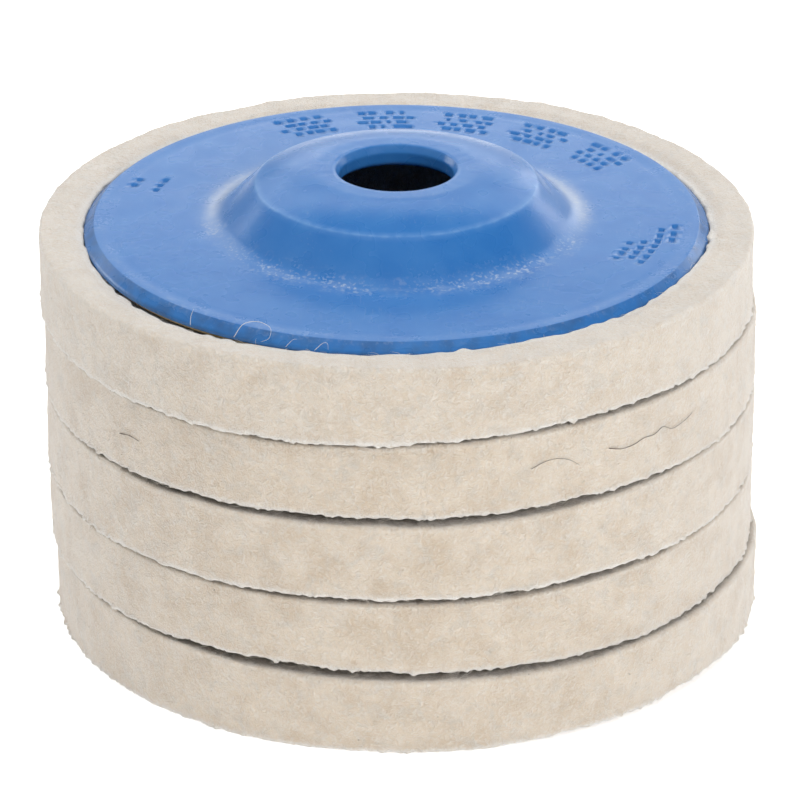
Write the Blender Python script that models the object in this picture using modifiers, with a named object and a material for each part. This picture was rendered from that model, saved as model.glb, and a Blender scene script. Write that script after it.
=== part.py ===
"""A stack of five felt polishing wheels for an angle grinder or a lapidary arbor.

Each wheel is three pieces: a ring of pressed wool felt, a moulded backing plate with a raised hub
and a plain bore, and the thin layer of glue between them. The wheels are stacked face down, so
that the hub of each one stands in the hole of the felt above it.

The world origin is the middle of the bottom felt's underside, and +Z points up the stack.
"""

from math import cos, radians, sin, tan

import bpy

# The felt ring
FELT_DIAMETER = 0.100
FELT_THICKNESS = 0.0102
FELT_BORDER = 0.00625  # the felt left showing all round the plate
FELT_EDGE_CUT = 0.0010
SEAT_DEPTH = 0.0017  # how far the plate and its glue are sunk into the felt's top

# The glue between felt and plate
GLUE_THICKNESS = 0.0003
GLUE_MARGIN = 0.0005  # kept clear of the felt's hole and of the plate's rim

# The backing plate
FLANGE_THICKNESS = 0.0020
RIM_BEVEL = 0.0014
HUB_DIAMETER = 0.0395
HUB_EDGE_HEIGHT = 0.0053  # the hub's outer edge, above the flange's top
HUB_CROWN = 0.0020  # the flat land round the bore, above the hub's outer edge
CROWN_CONE_SHARE = 0.35  # how much of the crown's fall is a plain cone, the rest growing steeper
HUB_WALL = 0.0030
LAND_WIDTH = 0.0030  # the flat ring round the bore
SKIRT_SLOPE = radians(45)  # the hub's outer side, a cone
SKIRT_FILLET = 0.0041  # where the cone runs out into the flange
SKIRT_WALL = 0.0024
BORE_DIAMETER = 0.016
BORE_CHAMFER = 0.0005  # at both ends of the bore

# The stack, from the bottom wheel to the top one
STACK_OFFSETS = [
    (0.0007, -0.0003),
    (-0.0001, 0.0003),
    (-0.0001, -0.0002),
    (-0.0002, 0.0003),
    (-0.0007, 0.0),
]

# Clearances between pieces
FIT_GAP = 0.0003  # between faces that touch on the real wheel
STACK_GAP = 0.0003  # between one wheel's flange and the felt above it
HOLE_CLEARANCE = 0.0010  # between the felt's hole and the foot of the hub's skirt

# How finely the shapes are turned
TURN_STEPS = 48
CROWN_STEPS = 3
FILLET_STEPS = 3
SEAM_MERGE = 0.00001

# Heights above a wheel's own working face
seat_floor = FELT_THICKNESS - SEAT_DEPTH
glue_bottom = seat_floor + FIT_GAP
plate_bottom = glue_bottom + GLUE_THICKNESS + FIT_GAP
flange_top = plate_bottom + FLANGE_THICKNESS
hub_edge_top = flange_top + HUB_EDGE_HEIGHT
hub_top = hub_edge_top + HUB_CROWN
hub_underside = hub_top - HUB_WALL
stack_pitch = flange_top + STACK_GAP

# Radii
felt_radius = FELT_DIAMETER / 2
plate_radius = felt_radius - FELT_BORDER
seat_radius = plate_radius + FIT_GAP
hub_radius = HUB_DIAMETER / 2
bore_radius = BORE_DIAMETER / 2
bore_mouth_radius = bore_radius + BORE_CHAMFER
land_radius = bore_mouth_radius + LAND_WIDTH
skirt_foot_radius = hub_radius + HUB_EDGE_HEIGHT / tan(SKIRT_SLOPE) + SKIRT_FILLET * tan(SKIRT_SLOPE / 2)
felt_hole_radius = skirt_foot_radius + HOLE_CLEARANCE

# The skirt's inner face, a cone one wall inside the outer one
inner_shift = SKIRT_WALL / sin(SKIRT_SLOPE)
inner_fillet = SKIRT_FILLET + SKIRT_WALL
inner_top_radius = hub_radius + (hub_edge_top - hub_underside) / tan(SKIRT_SLOPE) - inner_shift
inner_cone_foot = hub_radius + (hub_edge_top - plate_bottom) / tan(SKIRT_SLOPE) - inner_shift
inner_foot_radius = inner_cone_foot + inner_fillet * tan(SKIRT_SLOPE / 2)


def clear_scene():
    """Removes every object, so that the scene holds nothing but the wheels."""
    for old in list(bpy.data.objects):
        bpy.data.objects.remove(old, do_unlink=True)


def new_collection(name):
    """An empty collection, linked to the scene."""
    collection = bpy.data.collections.new(name)
    bpy.context.scene.collection.children.link(collection)
    return collection


def new_material(name, colour, roughness, metallic=0.0):
    """A Principled material. The colour is linear red, green and blue."""
    material = bpy.data.materials.new(name)
    material.use_nodes = True
    shader = material.node_tree.nodes["Principled BSDF"]
    shader.inputs["Base Color"].default_value = (*colour, 1.0)
    shader.inputs["Roughness"].default_value = roughness
    shader.inputs["Metallic"].default_value = metallic
    material.diffuse_color = (*colour, 1.0)
    return material


def crown_points():
    """The hub's domed top, falling from the flat land to the hub's edge and growing steeper on the way."""
    width = hub_radius - land_radius
    points = []
    for step in range(CROWN_STEPS + 1):
        share = step / CROWN_STEPS
        fall = CROWN_CONE_SHARE * share + (1 - CROWN_CONE_SHARE) * share**2
        points.append((land_radius + share * width, hub_top - HUB_CROWN * fall))
    return points


def fillet_points(foot_radius, foot_height, fillet):
    """An arc that lifts off a flat at its foot and turns up into the skirt's slope."""
    points = []
    for step in range(FILLET_STEPS + 1):
        angle = SKIRT_SLOPE * step / FILLET_STEPS
        points.append((foot_radius - fillet * sin(angle), foot_height + fillet * (1 - cos(angle))))
    return points


def plate_profile():
    """The backing plate's section: over the top from the bore to the rim, and back underneath."""
    top = [(bore_mouth_radius, hub_top)] + crown_points()
    skirt = fillet_points(skirt_foot_radius, flange_top, SKIRT_FILLET)[::-1]
    rim = [
        (plate_radius - RIM_BEVEL, flange_top),
        (plate_radius, flange_top - RIM_BEVEL),
        (plate_radius, plate_bottom),
    ]
    inside = fillet_points(inner_foot_radius, plate_bottom, inner_fillet)
    hub_inside = [(inner_top_radius, hub_underside), (bore_mouth_radius, hub_underside)]
    bore = [(bore_radius, hub_underside + BORE_CHAMFER), (bore_radius, hub_top - BORE_CHAMFER)]
    return top + skirt + rim + inside + hub_inside + bore


def felt_profile():
    """The felt ring's section: a block with cut outer corners and a seat for the plate in its top."""
    return [
        (felt_hole_radius, seat_floor),
        (seat_radius, seat_floor),
        (seat_radius, FELT_THICKNESS),
        (felt_radius - FELT_EDGE_CUT, FELT_THICKNESS),
        (felt_radius, FELT_THICKNESS - FELT_EDGE_CUT),
        (felt_radius, FELT_EDGE_CUT),
        (felt_radius - FELT_EDGE_CUT, 0),
        (felt_hole_radius, 0),
    ]


def glue_profile():
    """The glue layer's section, a thin flat strip."""
    inner = felt_hole_radius + GLUE_MARGIN
    outer = plate_radius - GLUE_MARGIN
    top = glue_bottom + GLUE_THICKNESS
    return [(inner, top), (outer, top), (outer, glue_bottom), (inner, glue_bottom)]


def profile_mesh(name, profile, material):
    """A closed loop of edges in the XZ plane, ready to be turned about Z."""
    count = len(profile)
    points = [(radius, 0, height) for radius, height in profile]
    edges = [(i, (i + 1) % count) for i in range(count)]
    mesh = bpy.data.meshes.new(name)
    mesh.from_pydata(points, edges, [])
    mesh.materials.append(material)
    return mesh


def add_turned_piece(name, mesh, wheel, collection):
    """One turned piece of a wheel: the shared profile, with its own Screw about the wheel's axis."""
    piece = bpy.data.objects.new(name, mesh)
    piece.parent = wheel
    collection.objects.link(piece)
    turn = piece.modifiers.new("Turn", "SCREW")
    turn.axis = "Z"
    turn.steps = TURN_STEPS
    turn.render_steps = TURN_STEPS
    turn.use_smooth_shade = True
    turn.use_merge_vertices = True
    turn.merge_threshold = SEAM_MERGE
    return piece


def add_wheel_axis(number, collection):
    """An empty on a wheel's axis, at the height of its working face. Its pieces are parented to it."""
    across, back = STACK_OFFSETS[number - 1]
    axis = bpy.data.objects.new(f"wheel_{number}_axis", None)
    axis.empty_display_size = hub_radius
    axis.location = (across, back, (number - 1) * stack_pitch)
    collection.objects.link(axis)
    return axis


def main():
    clear_scene()
    parts = new_collection("felt_polishing_wheels")
    wool = new_material("cream_wool_felt", (0.72, 0.63, 0.50), 0.95)
    plastic = new_material("blue_moulded_plastic", (0.07, 0.23, 0.58), 0.42)
    glue = new_material("amber_contact_glue", (0.55, 0.38, 0.14), 0.35)
    meshes = {
        "felt_ring": profile_mesh("felt_ring", felt_profile(), wool),
        "glue_layer": profile_mesh("glue_layer", glue_profile(), glue),
        "backing_plate": profile_mesh("backing_plate", plate_profile(), plastic),
    }
    for number in range(1, len(STACK_OFFSETS) + 1):
        wheel = add_wheel_axis(number, parts)
        for piece_name, mesh in meshes.items():
            add_turned_piece(f"{piece_name}_{number}", mesh, wheel, parts)


main()
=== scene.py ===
# %% [markdown]
# # A stack of felt polishing wheels
#
# Five wheels lie on top of each other. Each one is a ring of pressed wool felt, glued to a blue
# moulded plate with a raised hub. This file makes the fine surfaces and the finishes of those
# pieces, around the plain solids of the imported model, so every place and size starts from there.

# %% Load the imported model
import math

import bpy
import numpy as np
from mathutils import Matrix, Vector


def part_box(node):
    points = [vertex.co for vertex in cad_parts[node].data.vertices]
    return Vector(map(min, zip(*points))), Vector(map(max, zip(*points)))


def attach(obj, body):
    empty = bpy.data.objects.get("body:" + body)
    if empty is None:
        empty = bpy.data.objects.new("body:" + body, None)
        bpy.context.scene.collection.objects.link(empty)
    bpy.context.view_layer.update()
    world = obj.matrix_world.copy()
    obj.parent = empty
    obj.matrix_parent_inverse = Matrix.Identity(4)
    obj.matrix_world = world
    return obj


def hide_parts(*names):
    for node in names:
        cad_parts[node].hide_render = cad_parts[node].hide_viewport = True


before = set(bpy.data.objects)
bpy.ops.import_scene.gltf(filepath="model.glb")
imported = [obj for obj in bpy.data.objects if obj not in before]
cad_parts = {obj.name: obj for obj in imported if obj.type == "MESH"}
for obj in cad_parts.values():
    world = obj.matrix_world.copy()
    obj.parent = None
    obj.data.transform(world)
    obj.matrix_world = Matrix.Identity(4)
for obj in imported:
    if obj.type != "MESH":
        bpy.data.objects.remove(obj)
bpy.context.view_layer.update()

# %% [markdown]
# ## Sizes read from the solids
#
# The shapes below are worked out in millimetres, in a wheel's own coordinates: height 0 is the
# felt's working face, and the axis of the hub is at the middle. A wheel's box says where its middle
# and its working face lie in the stack. The few sizes that a box can't tell are named here once.

# %% Sizes of a wheel, in millimetres
MM = 0.001
WHEEL_COUNT = 5
felt_low, felt_high = np.array(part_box("felt_ring_1")) / MM
plate_low, plate_high = np.array(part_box("backing_plate_1")) / MM
glue_low, glue_high = np.array(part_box("glue_layer_1")) / MM

FELT_RADIUS = (felt_high[0] - felt_low[0]) / 2
FELT_TOP = felt_high[2] - felt_low[2]
PLATE_RADIUS = (plate_high[0] - plate_low[0]) / 2
PLATE_BOTTOM = plate_low[2] - felt_low[2]
HUB_TOP = plate_high[2] - felt_low[2]
GLUE_RADIUS = (glue_high[0] - glue_low[0]) / 2
GLUE_BOTTOM = glue_low[2] - felt_low[2]
GLUE_TOP = glue_high[2] - felt_low[2]

FLANGE_THICKNESS = 2.0
RIM_BEVEL = 1.4
HUB_RADIUS = 19.75
HUB_CROWN = 2.0
CROWN_CONE_SHARE = 0.35
HUB_WALL = 3.0
SKIRT_SLOPE = math.radians(45)
SKIRT_FILLET = 4.1
SKIRT_WALL = 2.4
BORE_RADIUS = 8.0
BORE_CHAMFER = 0.5
LAND_WIDTH = 3.0
HOLE_CLEARANCE = 1.0
FIT_GAP = 0.3

FLANGE_TOP = PLATE_BOTTOM + FLANGE_THICKNESS
HUB_EDGE = HUB_TOP - HUB_CROWN
HUB_UNDERSIDE = HUB_TOP - HUB_WALL
SKIRT_HEIGHT = HUB_EDGE - FLANGE_TOP
SKIRT_FOOT = HUB_RADIUS + SKIRT_HEIGHT / math.tan(SKIRT_SLOPE) + SKIRT_FILLET * math.tan(SKIRT_SLOPE / 2)
FELT_HOLE = SKIRT_FOOT + HOLE_CLEARANCE
SEAT_FLOOR = GLUE_BOTTOM - FIT_GAP
print("felt radius", FELT_RADIUS, "- felt top", FELT_TOP, "- flange top", FLANGE_TOP, "- hub top", HUB_TOP)


# %% Where each wheel lies
def wheel_place(number):
    """The middle of a wheel's working face in the stack, in millimetres."""
    low, high = np.array(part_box(f"felt_ring_{number}")) / MM
    middle = (low + high) / 2
    return np.array([middle[0], middle[1], low[2]])


places = {number: wheel_place(number) for number in range(1, WHEEL_COUNT + 1)}
for number, place in places.items():
    print("wheel", number, "at", np.round(place, 2))

# %% [markdown]
# ## Meshes from arrays
#
# A turned piece is a grid of points: one direction runs round the axis, the other runs along the
# outline of its section. Both directions close on themselves, so the piece is a ring with no seam
# and no open edge. Filling the mesh's arrays in one go is far quicker than adding faces in a loop,
# and it keeps the shape as a formula that can be read.


# %% A mesh from points and faces
def mesh_object(name, points, corners, face_starts):
    """A smooth mesh object at the origin. Points are in millimetres, and corners index them face by face."""
    mesh = bpy.data.meshes.new(name)
    mesh.vertices.add(len(points))
    mesh.vertices.foreach_set("co", (np.asarray(points) * MM).astype(np.float32).ravel())
    mesh.loops.add(len(corners))
    mesh.loops.foreach_set("vertex_index", np.asarray(corners, dtype=np.int32))
    mesh.polygons.add(len(face_starts))
    mesh.polygons.foreach_set("loop_start", np.asarray(face_starts, dtype=np.int32))
    mesh.update(calc_edges=True)
    mesh.validate()
    mesh.shade_smooth()
    piece = bpy.data.objects.new(name, mesh)
    bpy.context.scene.collection.objects.link(piece)
    return piece


def ring_object(name, grid):
    """A closed ring from a grid of points (round the axis, along the section, xyz).

    Each face joins a point to the next one along the section and the next one round the axis. The
    section runs outwards over the top and down the outer side, so the faces look outwards.
    """
    around, along = grid.shape[:2]
    index = np.arange(around * along).reshape(around, along)
    ahead = np.roll(index, -1, axis=0)
    quads = np.stack([index, np.roll(index, -1, axis=1), np.roll(ahead, -1, axis=1), ahead], axis=-1)
    corners = quads.reshape(-1)
    return mesh_object(name, grid.reshape(-1, 3), corners, np.arange(0, len(corners), 4))


# %% Pieces of a section's outline
def straight(start, end, count):
    """Count points from start towards end, evenly spaced, without end itself."""
    share = np.arange(count)[:, None] / count
    return np.array(start, float) + share * (np.array(end, float) - np.array(start, float))


def rounding(centre, radius, first, last, count):
    """Count points on an arc from one angle to another, in degrees from straight outwards."""
    angle = np.radians(first + (last - first) * np.arange(count) / count)
    return np.array(centre) + radius * np.stack([np.cos(angle), np.sin(angle)], axis=-1)


def section_normals(section):
    """The outward direction at each point of a closed section: its tangent turned a quarter left."""
    tangent = np.roll(section, -1, axis=0) - np.roll(section, 1, axis=0)
    tangent /= np.linalg.norm(tangent, axis=1, keepdims=True)
    return np.stack([-tangent[:, 1], tangent[:, 0]], axis=-1)


def length_share(section):
    """How far along the closed section each point lies, from 0 to 1."""
    steps = np.linalg.norm(np.roll(section, -1, axis=0) - section, axis=1)
    return np.concatenate([[0], np.cumsum(steps)[:-1]]) / steps.sum()


def smoothstep(value, low, high):
    """0 below low, 1 above high, and an S-curve between them."""
    share = np.clip((value - low) / (high - low), 0, 1)
    return share * share * (3 - 2 * share)


# %% [markdown]
# ## Unevenness that closes round the ring
#
# Pressed wool is never flat. Two kinds of unevenness are enough: slow waves round the ring, as a
# sum of cosines, and lumps, as random heights on a coarse grid that wraps round in both
# directions and is blended smoothly in between. Both start from a fixed seed, so the wheels come
# out the same each time.


# %% Slow waves and lumps
def slow_wave(rng, angle, most_waves):
    """A sum of cosines with 1 to most_waves waves round the ring, scaled so that it peaks at 1."""
    waves = np.arange(1, most_waves + 1)
    height = rng.standard_normal(most_waves) / np.sqrt(waves)
    phase = rng.uniform(0, 2 * np.pi, most_waves)
    total = (height * np.cos(np.outer(angle, waves) + phase)).sum(axis=1)
    return total / np.abs(total).max()


def lumps(rng, angle, share, cells_around, cells_along):
    """Random heights on a wrapped grid of cells, blended with S-curves, at each angle and share."""
    coarse = rng.standard_normal((cells_around, cells_along))
    u = (angle / (2 * np.pi) % 1) * cells_around
    v = share * cells_along
    i, j = np.floor(u).astype(int), np.floor(v).astype(int)
    blend_u = smoothstep(u - i, 0, 1)[:, None]
    blend_v = smoothstep(v - j, 0, 1)[None, :]
    i, next_i = i % cells_around, (i + 1) % cells_around
    j, next_j = j % cells_along, (j + 1) % cells_along
    near = coarse[np.ix_(i, j)] * (1 - blend_v) + coarse[np.ix_(i, next_j)] * blend_v
    far = coarse[np.ix_(next_i, j)] * (1 - blend_v) + coarse[np.ix_(next_i, next_j)] * blend_v
    return near * (1 - blend_u) + far * blend_u


# %% [markdown]
# ## The camera
#
# The wheels are seen from about 25 degrees above the table, from far enough away for a long lens,
# so the ellipses of the rims stay nearly alike from the top wheel to the bottom one. The camera
# looks at the middle of the stack's height.

# %% Camera
VIEW_SIDE = -0.0002
VIEW_DISTANCE = 0.720
VIEW_HEIGHT = 0.3604
AIM_HEIGHT = 0.02988
LENS = 250.9


def add_camera():
    """A long lens in front of the stack, tilted down by the angle between its height and its aim."""
    data = bpy.data.cameras.new("camera")
    data.lens = LENS
    data.sensor_width = 36
    data.clip_start = 0.01
    data.clip_end = 20
    camera = bpy.data.objects.new("camera", data)
    camera.location = (VIEW_SIDE, -VIEW_DISTANCE, VIEW_HEIGHT)
    down = math.atan2(VIEW_HEIGHT - AIM_HEIGHT, VIEW_DISTANCE)
    camera.rotation_euler = (math.pi / 2 - down, 0, 0)
    bpy.context.scene.collection.objects.link(camera)
    bpy.context.scene.camera = camera
    return math.degrees(down)


print("the camera looks down by", round(add_camera(), 1), "degrees")

# %% [markdown]
# ## The felt ring
#
# The ring is cut from a sheet of pressed wool, about 10 mm thick. The plate is sunk into its top, so
# the felt swells a little round it, and the cut edges are soft and ragged. A bevelled box of faces
# would look machined, so the section is drawn with soft corners, carried round the axis, and then
# moved by slow waves and by lumps of three sizes.

# %% The felt's section
EDGE_ROUND_TOP = 0.5
EDGE_ROUND_BOTTOM = 0.45
LIP_ROUND = 0.35
RIM_SWELL = 0.3


def felt_section():
    """The felt's outline: seat floor, seat wall, swollen top, soft outer side, underside and hole."""
    seat = PLATE_RADIUS + 0.12
    lip = FELT_TOP - 0.12
    swell = FELT_TOP + RIM_SWELL
    shoulder = FELT_RADIUS - EDGE_ROUND_TOP
    return np.concatenate([
        straight((FELT_HOLE, SEAT_FLOOR), (seat, SEAT_FLOOR), 5),
        straight((seat, SEAT_FLOOR), (seat, lip - LIP_ROUND), 4),
        rounding((seat + LIP_ROUND, lip - LIP_ROUND), LIP_ROUND, 180, 90, 5),
        straight((seat + LIP_ROUND, lip), (seat + 2.2, swell), 7),
        straight((seat + 2.2, swell), (shoulder, swell), 9),
        rounding((shoulder, swell - EDGE_ROUND_TOP), EDGE_ROUND_TOP, 90, 0, 7),
        straight((FELT_RADIUS, swell - EDGE_ROUND_TOP), (FELT_RADIUS, EDGE_ROUND_BOTTOM), 32),
        rounding((FELT_RADIUS - EDGE_ROUND_BOTTOM, EDGE_ROUND_BOTTOM), EDGE_ROUND_BOTTOM, 0, -90, 6),
        straight((FELT_RADIUS - EDGE_ROUND_BOTTOM, 0), (FELT_RADIUS - 7, 0), 14),
        straight((FELT_RADIUS - 7, 0), (FELT_HOLE + 0.5, 0), 12),
        rounding((FELT_HOLE + 0.5, 0.5), 0.5, -90, -180, 3),
        straight((FELT_HOLE, 0.5), (FELT_HOLE, SEAT_FLOOR), 8),
    ])


felt_outline = felt_section()
print("points in the felt's section:", len(felt_outline))

# %% [markdown]
# ## The seams between the wheels
#
# Pressed felt gives way, so the felts of a stack almost touch at their rims. In some places they
# meet, and in others a thin dark gap stays open. The two felts at a seam have to agree on where it
# runs, so each seam is one table: how wide it is open and how far its middle wanders up or down,
# at twelve angles round the front. The rest of the way round is filled with the table's average,
# which is reached a little past each end of the table.

# %% Seam tables, in millimetres
SEAM_ANGLES = np.arange(-156, -23, 12)
AVERAGE_FROM = 12
AVERAGE_TO = 168
SEAM_MIDDLE = 10.95
SEAM_OPENINGS = {
    4: [0.10, 0.14, 0.26, 0.36, 0.50, 0.42, 0.34, 0.50, 0.66, 0.50, 0.26, 0.12],
    3: [0.12, 0.30, 0.70, 0.85, 0.95, 1.00, 1.10, 1.00, 0.90, 0.70, 0.24, 0.12],
    2: [0.10, 0.16, 0.38, 0.34, 0.70, 0.82, 0.72, 1.00, 0.94, 0.70, 0.40, 0.14],
    1: [0.14, 0.22, 0.52, 0.86, 1.25, 1.20, 0.86, 0.98, 0.66, 0.34, 0.36, 0.14],
}
SEAM_WANDERS = {
    4: [-0.10, -0.25, -0.45, -0.65, -0.65, -0.35, -0.05, 0.30, 0.55, 0.60, 0.60, 0.50],
    3: [0.00, -0.10, -0.20, 0.00, 0.10, 0.15, 0.05, 0.20, 0.40, 0.50, 0.45, 0.20],
    2: [-0.30, -0.30, -0.25, -0.20, -0.10, 0.00, 0.00, 0.10, 0.25, 0.30, 0.35, 0.40],
    1: [0.60, 0.60, 0.55, 0.60, 0.60, 0.45, 0.30, 0.20, 0.00, 0.10, 0.30, 0.50],
}


def round_the_ring(angle, values):
    """A table over SEAM_ANGLES as a smooth closed curve: S-curves between entries, average behind."""
    first = AVERAGE_TO - 360
    average = np.mean(values)
    stops = np.concatenate([[first], SEAM_ANGLES, [AVERAGE_FROM, AVERAGE_TO]])
    heights = np.concatenate([[average], values, [average, average]])
    degrees = (np.degrees(angle) - first) % 360 + first
    i = np.clip(np.searchsorted(stops, degrees, side="right") - 1, 0, len(stops) - 2)
    share = smoothstep((degrees - stops[i]) / (stops[i + 1] - stops[i]), 0, 1)
    return heights[i] + (heights[i + 1] - heights[i]) * share


for seam, values in SEAM_OPENINGS.items():
    print("seam above wheel", seam, "opens by", round(min(values), 2), "to", round(max(values), 2), "mm")

# %% [markdown]
# Below a seam the top rim is raised to its lower side, and above it the bottom edge droops to its
# upper side. Only the rim moves: inside it the felt rests on the plate below. The bottom wheel
# stands on the table, and its edge is worn up at one side. The bottom edge also gets a row of
# small crumbs, because that is where the wool is cut and rubbed. On the top wheel the felt next to
# the plate has been pressed down and pulled up unevenly, so a last table lifts it there, with one
# number every 15 degrees.

# %% Waves and lumps of the felt
LIP_ANGLES = np.arange(0, 361, 15)
LIP_LIFTS = [0.1, 0.1, 0, 0, 0, 0, 0, 0, 0, 0, 0, 0.1, 0.1, -0.25, -0.95, -1.15, -0.85, -0.45,
             -0.25, 0.15, 0.25, 0.1, 0.5, 0.55, 0.1]
FELT_AROUND = 860
TOP_WAVE = 0.22
SIDE_WAVE = 0.15
CRUMB_DEPTH = 0.2
RAGGED = 0.14
RAGGED_WAVES = 70
LIP_CREEP = 0.16
WORN_ANGLE = -38
WORN_LIFT = 0.85
WORN_HALF = 32
LUMP_SIZES = [(46, 9, 0.07), (150, 32, 0.05), (330, 66, 0.03)]


def rim_rise(rng, angle, number):
    """How far the top rim stands above its own section, up to the lower side of the seam above."""
    if number == WHEEL_COUNT:
        return TOP_WAVE * slow_wave(rng, angle, 7)
    middle = SEAM_MIDDLE + round_the_ring(angle, SEAM_WANDERS[number])
    return middle - round_the_ring(angle, SEAM_OPENINGS[number]) / 2 - FELT_TOP - RIM_SWELL


def edge_droop(rng, angle, number, pitch):
    """How far the bottom edge hangs below the working face, down to the upper side of the seam."""
    if number == 1:
        turned = (np.degrees(angle) - WORN_ANGLE + 180) % 360 - 180
        return -WORN_LIFT * np.exp(-(turned / WORN_HALF) ** 2)
    middle = SEAM_MIDDLE + round_the_ring(angle, SEAM_WANDERS[number - 1])
    smooth = pitch - middle - round_the_ring(angle, SEAM_OPENINGS[number - 1]) / 2
    return smooth + RAGGED * slow_wave(rng, angle, RAGGED_WAVES)


def felt_relief(rng, angle, share):
    """Lumps of all sizes over the felt, with crumbs along its bottom edge and a creeping lip."""
    radius, height = felt_outline[:, 0], felt_outline[:, 1]
    relief = sum(depth * lumps(rng, angle, share, *cells) for *cells, depth in LUMP_SIZES)
    bottom = smoothstep(radius, FELT_RADIUS - 1.5, FELT_RADIUS - 0.4) * smoothstep(-height, -1.1, -0.4)
    crumbs = np.abs(lumps(rng, angle, share, 380, 90)) - 0.6
    lip = (height > FELT_TOP - 0.6) * smoothstep(-radius, -PLATE_RADIUS - 0.6, -PLATE_RADIUS - 0.1)
    creep = 0.6 + lumps(rng, angle, share, 170, 8)
    on_plate = smoothstep(radius, PLATE_RADIUS + 0.3, PLATE_RADIUS + 1.2)
    under = (0.35 + 0.65 * smoothstep(radius, 42, 46)) * (height < SEAT_FLOOR - 0.3)
    return relief * np.maximum(on_plate, under) + CRUMB_DEPTH * crumbs * bottom + LIP_CREEP * creep * lip


def felt_grid(number):
    """The felt's points: the section carried round the axis, with its waves and lumps added."""
    rng = np.random.default_rng(100 + number)
    angle = np.arange(FELT_AROUND) / FELT_AROUND * 2 * np.pi
    radius, height = felt_outline[:, 0], felt_outline[:, 1]
    outward = section_normals(felt_outline)
    pitch = (places[2] - places[1])[2]

    relief = felt_relief(rng, angle, length_share(felt_outline))
    swells = smoothstep(height, 4, FELT_TOP) * smoothstep(radius, PLATE_RADIUS + 0.5, PLATE_RADIUS + 3)
    sags = smoothstep(-height, -4, 0) * smoothstep(radius, 41, 46.5)
    rise = rim_rise(rng, angle, number)[:, None] * swells
    if number == WHEEL_COUNT:
        near_plate = smoothstep(-radius, -PLATE_RADIUS - 3.5, -PLATE_RADIUS - 0.5)
        near_plate = near_plate * (height > SEAT_FLOOR + 0.5)
        rise = rise + np.interp(np.degrees(angle), LIP_ANGLES, LIP_LIFTS)[:, None] * near_plate
    droop = edge_droop(rng, angle, number, pitch)[:, None] * sags
    bulge = SIDE_WAVE * slow_wave(rng, angle, 5)[:, None] * smoothstep(radius, 44, FELT_RADIUS)

    across = radius + relief * outward[:, 0] + bulge
    up = height + relief * outward[:, 1] + rise - droop
    if number == 1:
        up = np.maximum(up, 0)
    turned = [across * np.cos(angle)[:, None], across * np.sin(angle)[:, None], up]
    return np.stack(turned, axis=-1) + places[number]


# %% [markdown]
# The cut edges of the felt are paler and fuzzier than its middle. The top rim of each felt and
# the whole top wheel are painted a little lighter, as painted light from the white surround, and
# the faces inside a seam are painted dark near the rim, as painted shade for the gap. Two numbers
# on each point tell the finish where those places are, because a pattern in space can't follow them.


# %% Build the felt rings
def add_number(piece, name, values):
    """Stores one number on each point of a piece, for its finish to read."""
    layer = piece.data.attributes.new(name, "FLOAT", "POINT")
    layer.data.foreach_set("value", np.asarray(values, dtype=np.float32).ravel())


def pale_edges_and_light(number):
    """1 at the felt's cut edges, fading to 0 about a millimetre away from them along the section; painted
    light adds a quarter on the top rim and a little over the whole top wheel.
    """
    radius, height = felt_outline[:, 0], felt_outline[:, 1]
    bottom = np.exp(-((height - 0.25) / 0.38) ** 2) * smoothstep(radius, FELT_RADIUS - 0.8, FELT_RADIUS - 0.3)
    lip = np.exp(-((radius - PLATE_RADIUS - 0.5) / 0.6) ** 2) * (height > SEAT_FLOOR + 1)
    top = smoothstep(height, FELT_TOP - 0.5, FELT_TOP - 0.1)
    top = top * smoothstep(radius, PLATE_RADIUS, PLATE_RADIUS + 3)
    # Painted light: a quarter on the top rim of every felt, and a little over all of the top wheel, for the
    # surround's glow at grazing angles.
    return np.clip(bottom + lip + 0.25 * top + 0.18 * (number == WHEEL_COUNT), 0, 1)


def seam_shade_share(number):
    """1 near the rim on the faces inside a seam, tops and undersides, where the finish paints the seam's
    shade.
    """
    radius, height = felt_outline[:, 0], felt_outline[:, 1]
    outer_ring = smoothstep(radius, FELT_RADIUS - 4.5, FELT_RADIUS - 2.5)
    rim_top = smoothstep(-radius, -FELT_RADIUS + 0.25, -FELT_RADIUS + 1.5) * (height > FELT_TOP - 0.6)
    underside = smoothstep(-height, -0.12, 0) * smoothstep(-radius, -FELT_RADIUS + 0.25, -FELT_RADIUS + 0.7)
    return rim_top * outer_ring * (number < WHEEL_COUNT) + underside * outer_ring


felt_grids = {number: felt_grid(number) for number in places}
felt_rings = {}
for number, grid in felt_grids.items():
    ring = ring_object(f"wool_felt_{number}", grid)
    add_number(ring, "pale_edge_and_light", np.broadcast_to(pale_edges_and_light(number), grid.shape[:2]))
    add_number(ring, "seam_shade", np.broadcast_to(seam_shade_share(number), grid.shape[:2]))
    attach(ring, f"wheel_{number}")
    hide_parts(f"felt_ring_{number}")
    felt_rings[number] = ring
print("felt faces:", sum(len(ring.data.polygons) for ring in felt_rings.values()))

# %% [markdown]
# ## Loose fibres
#
# What makes felt look like felt is the fuzz: short fibres that lie over the surface and stand out
# along the cut edges. Each fibre is a thin three-sided tube that narrows to a point. Its path
# leaves the felt at a low angle and curls back. All the fibres of a wheel are one mesh, worked out
# together: the first axis of the arrays is the fibre, the second is the step along it.

# %% Tubes along many paths at once
FIBRE_STEPS = 4


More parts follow.
